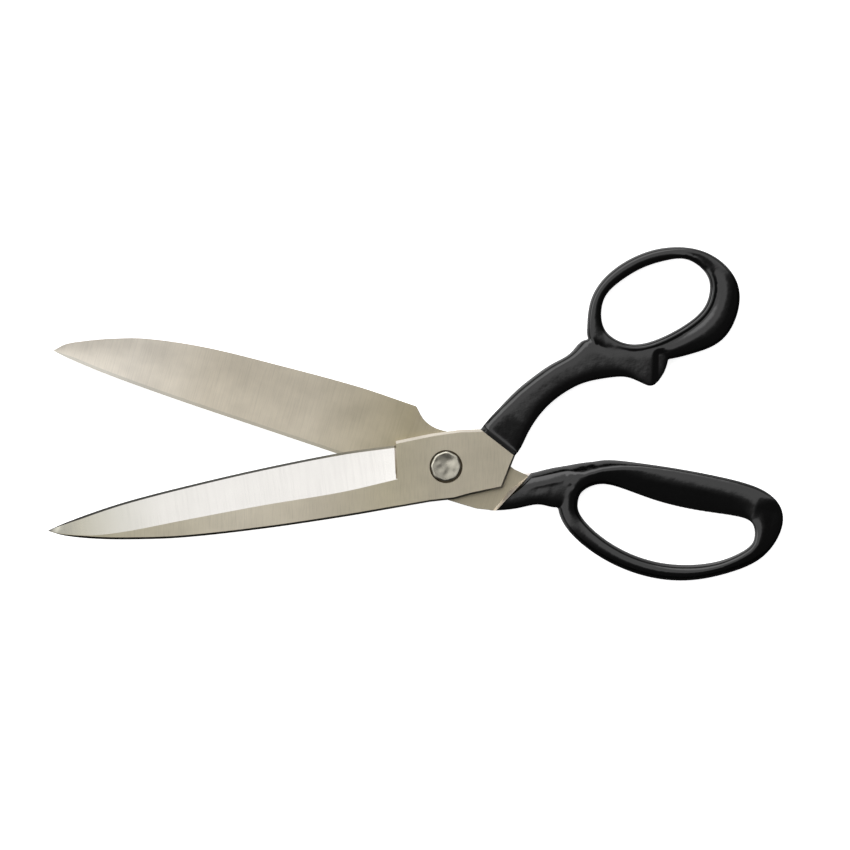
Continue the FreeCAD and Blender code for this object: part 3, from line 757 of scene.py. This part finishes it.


# Brightness ramps from the pivot (0) to the tip (1). The bevel ramp dulls the polished bevel toward
# the tip, partly its real duller tone there and at the very tip painted shade; the edge ramp
# darkens the honed strip and back edges toward the tip as painted shade.
ALONG_FRONT = [(0.0, (0.84, 0.83, 0.80)), (0.14, (0.84, 0.83, 0.75)), (0.3, (0.95, 0.94, 0.92)),
               (0.5, (1.0, 1.0, 1.0)), (0.85, (0.76, 0.76, 0.69)), (1.0, (0.70, 0.70, 0.62))]
ALONG_REAR = [(0.0, (0.56, 0.54, 0.46)), (0.12, (0.57, 0.54, 0.43)), (0.35, (0.80, 0.78, 0.72)),
              (0.6, (0.83, 0.81, 0.76)), (0.8, (1.0, 1.0, 1.0)), (1.0, (1.0, 1.0, 1.0))]
BEVEL_SHADE_ALONG = [(0.0, (1, 1, 1)), (0.55, (1.0, 1.0, 1.0)), (0.7, (0.95, 0.95, 0.94)),
               (0.8, (0.80, 0.80, 0.76)), (0.9, (0.62, 0.61, 0.53)), (0.95, (0.45, 0.45, 0.4)),
               (0.975, (0.12, 0.12, 0.11)), (1.0, (0.1, 0.1, 0.09))]
EDGE_SHADE_ALONG = [(0.0, grey(1.0)), (0.15, grey(0.6)), (0.35, grey(0.25)), (1.0, grey(0.1))]
steel = {}
for half, swing, along in (("front", FRONT_SWING, ALONG_FRONT), ("rear", REAR_SWING, ALONG_REAR)):
    grain = (2600, 130, 400) if half == "front" else (2400, 70, 70)
    steel[half] = [
        brushed(half + "_satin", (0.665, 0.61, 0.495), 0.40, 0.0 if half == "front" else swing,
                grain, contrast=0.06, along=along),
        brushed(half + "_polished", (0.755, 0.735, 0.705), 0.16, swing, (1500, 50, 50),
                contrast=0.02, bump=0.1, cloud=0.015, along=BEVEL_SHADE_ALONG),
        # Honed edge steel: darker than the satin and darkening toward the tip, painted shade along
        # the cutting edge
        brushed(half + "_shaded_honed", (0.5, 0.49, 0.44), 0.35, swing, (2500, 90, 90), along=EDGE_SHADE_ALONG),
        brushed(half + "_cross_ground", (0.83, 0.77, 0.67), 0.38, swing, (2400, 70, 70),
                contrast=0.05, bump=0.25, cloud=0.06, along=along),
        brushed(half + "_land", (0.71, 0.675, 0.60), 0.34, swing, (1500, 300, 300), contrast=0.03,
                bump=0.1, along=along),
        # A darkened copy of the steel for the front block's top chamfers: painted shade that tones
        # down their bright reflection
        brushed(half + "_shaded_broken_edge", (0.37, 0.34, 0.29), 0.36, swing, (90, 300, 90),
                contrast=0.08, bump=0.05, cloud=0.12),
        # Dark steel on the blades' back rounding and the blocks' lower chamfers: painted shadow and
        # dirt along these edges
        brushed(half + "_back_edge_dirt_and_shade", (0.33, 0.31, 0.26), 0.4, swing, (90, 90, 90), contrast=0.05,
                bump=0.05, along=EDGE_SHADE_ALONG),
        # Riser steel: a brightened copy of the satin, a painted highlight on the riser's steep face
        brushed(half + "_lit_riser", (1.0, 0.93, 0.87), 0.5, swing, (300, 300, 300), contrast=0.06,
                bump=0.1, cloud=0.08),
        # Dark steel: painted shade in the pivot's bore, on the washer in the seat's gap and in the
        # shoulder's corner
        brushed(half + "_grime_and_shade", (0.24, 0.20, 0.14), 0.5, swing, (300, 300, 300), contrast=0.1,
                bump=0.2),
    ]
black = {h: enamel(h + "_enamel", s) for h, s in (("front", FRONT_SWING), ("rear", REAR_SWING))}
pivot_metal = brushed("pivot_steel", (0.50, 0.475, 0.40), 0.3, 0.0, (700, 500, 500), contrast=0.12,
                      bump=0.4, cloud=0.1)

# ---------------------------------------------------------------- front half
# The front block's top chamfers take the darkened broken-edge steel, painted shade
front_widths = [1.2, 1.1, 1.1, 0.1, 0.7, 0.8, 0.8, 0.8, 0.8, 0.8, 0.05]
front_drop = [0.6, 0.6, 0.55, 0.1, 0.8, 0.9, 0.9, 0.9, 0.8, 0.8, 0.05]
block = block_parts(
    FRONT_BLOCK, FRONT_INNER, TOP, front_widths, front_drop,
    [(SEAT_R + 0.08, TOP), (SEAT_R, TOP - 0.1), (SEAT_R, SEAT_Z), (BOLT_R + 0.05, SEAT_Z)],
    [(BOLT_R + 0.05, FRONT_INNER)],
    # the lower chamfers take the dark back-edge steel: painted shadow and dirt along the block's
    # lower edges
    {"side": SATIN, "chamfer": [SHADED_BROKEN_EDGE] * 3 + [SATIN] + [BACK_EDGE_DIRT_AND_SHADE] * 6 + [SATIN],
     # the counterbore's walls are darkened as painted shade
     "top": SATIN, "bore": GRIME_AND_SHADE, "low": CROSS_GROUND},
)
sections = blade_sections(FRONT_BLADE, FRONT_INNER, 1, "frame", SHOULDER_SLANT)
bp, bf, bs = skin(sections, FRAME_SLOTS)
# A dark wedge in the shoulder's corner: painted shade
wedge = []
for k in range(CORNER_STEPS + 1):
    y = CORNER_Y[0] + (CORNER_Y[1] - CORNER_Y[0]) * k / CORNER_STEPS
    x = CORNER_X + (y + 2) * CORNER_LEAN
    z = TOP - (y + 2) * CORNER_DROP
    wedge.append([(x + 0.4, y, TOP - 0.01), (x + 0.05, y, TOP - 0.01), (x - 0.75, y, z - 0.05),
                  (x + 0.4, y, z - 0.1)])
wp, wf, ws = skin(wedge, [GRIME_AND_SHADE] * 4)
points, faces = merged([(block[0], block[1]), (bp, bf), (wp, wf)])
front_frame = make_object("front_blade_frame", points, faces, FRONT_SWING, steel["front"],
                          block[2] + bs + ws)
sections = blade_sections(FRONT_BLADE, FRONT_INNER, 1, "plate", SHOULDER_SLANT)
pp, pf, ps = skin(sections, PLATE_SLOTS)
front_plate = make_object("front_cutting_edge", pp, pf, FRONT_SWING, steel["front"], ps)

parts = [ring_parts(THUMB_RING, THUMB_SQUARE, rim_groove, HOLE_EDGE, THUMB_RIM),
         neck_parts(FRONT_NECK, FRONT_NECK_SQUARE)]
front_coat = clay("front_handle_coat", parts, FRONT_SWING, black["front"])
soften(front_coat, FRONT_SWING, FRONT_SOFT)
p0, n0 = cut_side(FRONT_PAINT)
co = local_points(front_coat, FRONT_SWING)

# The coat rises to the steel at its paint line and is a little hollow beyond it
d = (co[:, :2] - p0) @ n0
upper = np.clip((co[:, 2] - 6.8) / 1.4, 0, 1)
fillet = 1.25 * soft_step(-d, -2.2, 0.3)
hollow_start = 1.1 * np.clip(1 - (d - 2.2) / 11, 0, 1) ** 1.2
co[:, 2] += upper * (fillet - hollow_start)

# Notch between the neck and the thumb bow
notch = past_line(co[:, :2], NOTCH_LINE)
deep = np.interp(co[:, 0], NOTCH_X, NOTCH_DEPTH)
co[:, 2] -= np.exp(-(notch / NOTCH_WIDTH) ** 2) * deep * upper

# The spur's right face
right = -past_line(co[:, :2], SPUR_RIDGE)
level = np.clip((SPUR_TOP - co[:, 1]) / 2.4, 0, 1) / (1 + np.exp((co[:, 0] - SPUR_END) / 0.9))
spur_fall = np.minimum(SPUR_FALL * soft_step(right, 0.0, 0.25), SPUR_LIMIT)
co[:, 2] = lowered(co[:, 2], level * spur_fall)

# The neck's upper edge, beyond its crest
d = past_line(co[:, :2], FRONT_CREST)
near = np.clip((68.0 - co[:, 0]) / 6.0, 0, 1) * (d > -3)
first, second = FRONT_CREST_FALL
fall = first * soft_step(d, -0.6, 0.25) + second * soft_step(d, 0.9, 0.2)
co[:, 2] = lowered(co[:, 2], fall * near)
set_points(front_coat, co, FRONT_SWING)
trim(front_coat, p0, -n0, FRONT_SWING)

# ---------------------------------------------------------------- rear half
REAR_BLOCK = [
    (-21.0, 21.1), (-19.4, 21.0), (-18.2, 19.8), (-16.7, 18.2), (-15.0, 16.7), (-13.0, 15.6),
    (-10.8, 14.8), (-8.6, 14.4), (-6.5, 14.3),
    (10.0, 15.0), (13.8, 14.6), (17.0, 13.2), (19.6, 11.6), (21.6, 9.6), (28.3, 7.1), (32.0, 6.6),
    (34.8, 6.1), (25.7, -12.0), (17.5, -13.5), (10.6, -13.5), (-8.0, -13.3), (-17.0, -12.2),
    (-21.0, -9.0),
]
n = len(REAR_BLOCK)
# The chamfers take the dark back-edge steel: painted shadow and dirt
rear_widths = [0.12] * (n - 1) + [0.0]
block = block_parts(
    REAR_BLOCK, 0.0, REAR_INNER, rear_widths, rear_widths,
    [(BOLT_R, REAR_INNER), (BOLT_R, HEAD_HEIGHT), (HEAD_R, HEAD_HEIGHT)], [(HEAD_R, 0.0)],
    # the bore is darkened as painted shade
    {"side": SATIN, "chamfer": [BACK_EDGE_DIRT_AND_SHADE] * n, "top": CROSS_GROUND, "bore": GRIME_AND_SHADE, "low": SATIN},
)
sections = blade_sections(REAR_BLADE, REAR_INNER, -1, "frame")
bp, bf, bs = skin(sections, FRAME_SLOTS)
points, faces = merged([(block[0], block[1]), (bp, bf)])
rear_frame = make_object("rear_blade_frame", points, faces, REAR_SWING, steel["rear"],
                         block[2] + bs)
sections = blade_sections(REAR_BLADE, REAR_INNER, -1, "plate")
pp, pf, ps = skin(sections, PLATE_SLOTS)
rear_plate = make_object("rear_cutting_edge", pp, pf, REAR_SWING, steel["rear"], ps)

parts = [ring_parts(FINGER_RING, FINGER_SQUARE, limb_knee, OUTER_EDGE, FINGER_KNEE),
         neck_parts(REAR_NECK, REAR_NECK_SQUARE)]
rear_coat = clay("rear_handle_coat", parts, REAR_SWING, black["rear"])
soften(rear_coat, REAR_SWING, REAR_SOFT)
co = local_points(rear_coat, REAR_SWING)

# The upper edge, beyond its crest, fading along the bow
d = past_line(co[:, :2], REAR_CREST)
strength = np.interp(co[:, 0], [85, 105, 125, 140], [1.0, 0.7, 0.5, 0.0])
on_neck = np.clip((54.0 - co[:, 0]) / 4.0, 0, 1)
first, second = REAR_CREST_FALL
fall = first * soft_step(d, -0.6 - 1.7 * on_neck, 0.2 + 0.6 * on_neck)
fall += second * soft_step(d, 0.6, 0.2)

# The step on the neck, fading below its line
step = past_line(co[:, :2], REAR_STEP)
reach = np.interp(co[:, 0], [36, 40, 46, 51], [0.0, 1.0, 1.0, 0.0])
step_fade = np.exp(np.minimum(step, 0) / 5) * reach * (d < 2)
fall += STEP_DEPTH / (1 + np.exp(step / 0.4)) * step_fade
fall *= strength

# The far end of the bow, outside its inner rim
outside = -past_line(co[:, :2], END_RIM)
end = np.clip((co[:, 0] - 114) / 19, 0, 1)
end = end * end * (3 - 2 * end) * np.clip((27.0 - co[:, 1]) / 6.0, 0, 1)
fall += END_FALL * end * (soft_step(outside, END_FROM, 0.3) - soft_step(outside, END_TO, 0.5))
co[:, 2] = lowered(co[:, 2], fall)

upper = np.clip((co[:, 2] - 5.5) / 1.5, 0, 1)
for x, y, r, depth in REAR_DENTS:
    co[:, 2] -= upper * depth * np.exp(-((co[:, 0] - x) ** 2 + (co[:, 1] - y) ** 2) / r ** 2)
set_points(rear_coat, co, REAR_SWING)
p1, n1 = cut_side(REAR_PAINT)
foot, nf = cut_side(RISER_FOOT)
rear_step = bpy.data.objects.new("rear_lit_riser", rear_coat.data.copy())
bpy.context.scene.collection.objects.link(rear_step)
rear_step.data.materials.clear()
for m in steel["rear"]:
    rear_step.data.materials.append(m)
trim(rear_coat, p1, -n1, REAR_SWING)
trim(rear_step, p1, n1, REAR_SWING)
trim(rear_step, foot, -nf, REAR_SWING, z=REAR_INNER, tilt=RISER_TILT)
b0, nb = cut_side(BEVEL_LINE)
for piece in (rear_coat, rear_step):
    trim(piece, b0, -nb, REAR_SWING, z=BEVEL_FOOT, tilt=BEVEL_TILT)
centre = turned_back(np.array([p.center[:] for p in rear_step.data.polygons]) / MM, REAR_SWING)
on_dark_spot = np.hypot(centre[:, 0] - DARK_SPOT[0], centre[:, 1] - DARK_SPOT[1]) < DARK_SPOT[2]
# The riser's faces take the brightened steel, a painted highlight; faces near the dark spot take
# the dark grime-and-shade steel
rear_step.data.polygons.foreach_set("material_index", np.where(on_dark_spot, GRIME_AND_SHADE, LIT_RISER).tolist())


# ---------------------------------------------------------------- pivot
def hammered(x, y):
    """Height of the hammered face at a point."""
    z = 0.0
    for bx, by, r, depth in BLOWS:
        z -= BLOW_STRENGTH * depth * math.exp(-((x - bx) ** 2 + (y - by) ** 2) / r ** 2)
    return z


def tube_faces(rows, angles):
    """Quads between rows of points round an axis."""
    faces = []
    for i in range(rows - 1):
        for j in range(angles):
            k = (j + 1) % angles
            faces.append((i * angles + j, i * angles + k, (i + 1) * angles + k,
                          (i + 1) * angles + j))
    return faces


def face_height(r, x, y):
    """Height of the nut's and bolt's common face, which rounds off near the rim."""
    edge = max(0.0, (r - (NUT_R - NUT_EDGE)) / NUT_EDGE)
    return NUT_TOP - FACE_DEPTH + hammered(x, y) - NUT_EDGE_DROP * edge ** 2


def disc(inner_r, outer_r, foot_z, angles=96, rings=26):
    """A round head with a hammered face and an uneven rim."""

    def wobble(a):
        return 1 + 0.018 * math.cos(8 * a + 0.4) + 0.008 * math.cos(3 * a + 1.1)

    rows = [(inner_r, foot_z)] if inner_r > 0 else []
    rows += [(inner_r + (outer_r - inner_r) * k / rings, None) for k in range(rings + 1)]
    rows.append((outer_r, foot_z))
    points = []
    for r, z in rows:
        for i in range(angles):
            a = 2 * math.pi * i / angles
            rr = r * (wobble(a) if r > PEEN_R + 0.1 else 1.0)
            x, y = rr * math.cos(a), rr * math.sin(a)
            points.append((x, y, face_height(r, x, y) if z is None else z))
    n = len(rows)
    faces = tube_faces(n, angles)
    if inner_r > 0:
        for j in range(angles):
            k = (j + 1) % angles
            faces.append(((n - 1) * angles + j, (n - 1) * angles + k, k, j))
    else:
        faces.append(tuple((n - 1) * angles + j for j in reversed(range(angles))))
    return points, faces


def turned(profile, angles=64):
    """A solid of revolution from (radius, z) pairs, closed at both ends."""
    points = []
    for r, z in profile:
        points += circle(r, z, angles)
    n = len(profile)
    faces = tube_faces(n, angles)
    faces.append(tuple(range(angles)))
    faces.append(tuple((n - 1) * angles + j for j in reversed(range(angles))))
    return points, faces


nut = make_object("pivot_nut_peened", *disc(PEEN_R, NUT_R, NUT_Z), 0.0, [pivot_metal], sharp=35)
bolt_parts = [
    disc(0.0, PEEN_R, NUT_TOP - 1.6),
    turned([(HEAD_R - 0.35, 0.0), (HEAD_R - 0.1, 0.12), (HEAD_R - 0.1, HEAD_HEIGHT),
            (BOLT_R, HEAD_HEIGHT), (BOLT_R, NUT_TOP - 1.4)]),
]
bolt = make_object("pivot_bolt_turned", *merged(bolt_parts), 0.0, [pivot_metal], sharp=35)

# ---------------------------------------------------------------- bodies, stand-ins
for piece, body, slot, nodes in (
    (front_frame, "front_half", "frame_steel", ("front_frame",)),
    (front_plate, "front_half", "edge_steel", ("front_cutting_plate",)),
    (front_coat, "front_half", "black_enamel", ("front_handle_enamel",)),
    (rear_frame, "rear_half", "frame_steel", ("rear_frame",)),
    (rear_step, "rear_half", "frame_steel", ("rear_frame",)),
    (rear_plate, "rear_half", "edge_steel", ("rear_cutting_plate",)),
    (rear_coat, "rear_half", "black_enamel", ("rear_handle_enamel",)),
    (nut, "rear_half", "pivot_steel", ("pivot_nut",)),
    (bolt, "rear_half", "pivot_steel", ("pivot_bolt",)),
):
    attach(piece, body)
    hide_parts(*nodes)
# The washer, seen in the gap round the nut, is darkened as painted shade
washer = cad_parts["pivot_washer"]
for s in washer.material_slots:
    s.material = steel["front"][GRIME_AND_SHADE]

# ---------------------------------------------------------------- floor, light, camera
FLOOR_HALF, FLOOR_Z, FLOOR_GLOW = 4.0, -0.00005, 0.85
LIGHT_STRENGTH, LIGHT_SIDE = 1.9, (-0.6, 0.8, 0.0)
VIEW_WIDTH, VIEW_X, VIEW_Y, DISTANCE = 0.36186, -0.00894, 0.01767, 2.0
SENSOR = 36.0

floor_mesh = bpy.data.meshes.new("floor")
F = FLOOR_HALF
floor_mesh.from_pydata([(-F, -F, 0), (F, -F, 0), (F, F, 0), (-F, F, 0)], [], [(0, 1, 2, 3)])
floor = bpy.data.objects.new("floor", floor_mesh)
bpy.context.scene.collection.objects.link(floor)
m, nt, bsdf = new_material("floor_paper")
bsdf.inputs["Base Color"].default_value = (0.93, 0.93, 0.93, 1)
bsdf.inputs["Roughness"].default_value = 0.9
bsdf.inputs["Specular IOR Level"].default_value = 0.1
bsdf.inputs["Emission Color"].default_value = (1, 1, 1, 1)
bsdf.inputs["Emission Strength"].default_value = FLOOR_GLOW
floor_mesh.materials.append(m)
floor.location.z = FLOOR_Z
floor.visible_glossy = False    # the soft light goes all round the object, without a floor line

world = bpy.data.worlds.new("studio")
bpy.context.scene.world = world
world.use_nodes = True
nt = world.node_tree
nt.nodes.clear()
out = nt.nodes.new("ShaderNodeOutputWorld")
bg = nt.nodes.new("ShaderNodeBackground")
nt.links.new(bg.outputs[0], out.inputs[0])
coord = nt.nodes.new("ShaderNodeTexCoord")
split = nt.nodes.new("ShaderNodeSeparateXYZ")
nt.links.new(coord.outputs["Generated"], split.inputs[0])


def half_range(source):
    """A direction component from -1..1 to 0..1."""
    node = nt.nodes.new("ShaderNodeMapRange")
    node.inputs["From Min"].default_value = -1.0
    node.inputs["From Max"].default_value = 1.0
    nt.links.new(source, node.inputs[0])
    return node.outputs[0]


dot = nt.nodes.new("ShaderNodeVectorMath")
dot.operation = "DOT_PRODUCT"
dot.inputs[1].default_value = LIGHT_SIDE
nt.links.new(coord.outputs["Generated"], dot.inputs[0])
toward = ramp(nt, half_range(dot.outputs["Value"]), [
    (0.0, grey(0.03)), (0.36, grey(0.04)), (0.43, grey(0.09)), (0.465, grey(0.15)),
    (0.487, grey(0.33)), (0.50, grey(0.54)), (0.53, grey(0.64)), (0.72, grey(0.60)),
    (0.78, grey(0.70)), (0.81, grey(1.4)), (0.92, grey(1.45)), (1.0, grey(1.1)),
])
height = ramp(nt, half_range(split.outputs["Z"]), [
    (0.0, grey(0.55)), (0.42, grey(0.4)), (0.49, grey(0.06)), (0.54, grey(0.06)), (0.58, grey(0.4)),
    (0.65, grey(1.0)), (1.0, grey(1.0)),
])
nt.links.new(multiplied(nt, toward, height), bg.inputs["Color"])
bg.inputs["Strength"].default_value = LIGHT_STRENGTH

cam_data = bpy.data.cameras.new("camera")
cam = bpy.data.objects.new("camera", cam_data)
bpy.context.scene.collection.objects.link(cam)
bpy.context.scene.camera = cam
cam_data.sensor_width = SENSOR
cam_data.lens = SENSOR * DISTANCE / VIEW_WIDTH
cam_data.clip_start, cam_data.clip_end = 0.1, 20.0
cam.location = (VIEW_X, VIEW_Y, DISTANCE + MIDDLE * MM)
cam.rotation_euler = (0, 0, 0)
bpy.context.scene.view_settings.view_transform = "Standard"
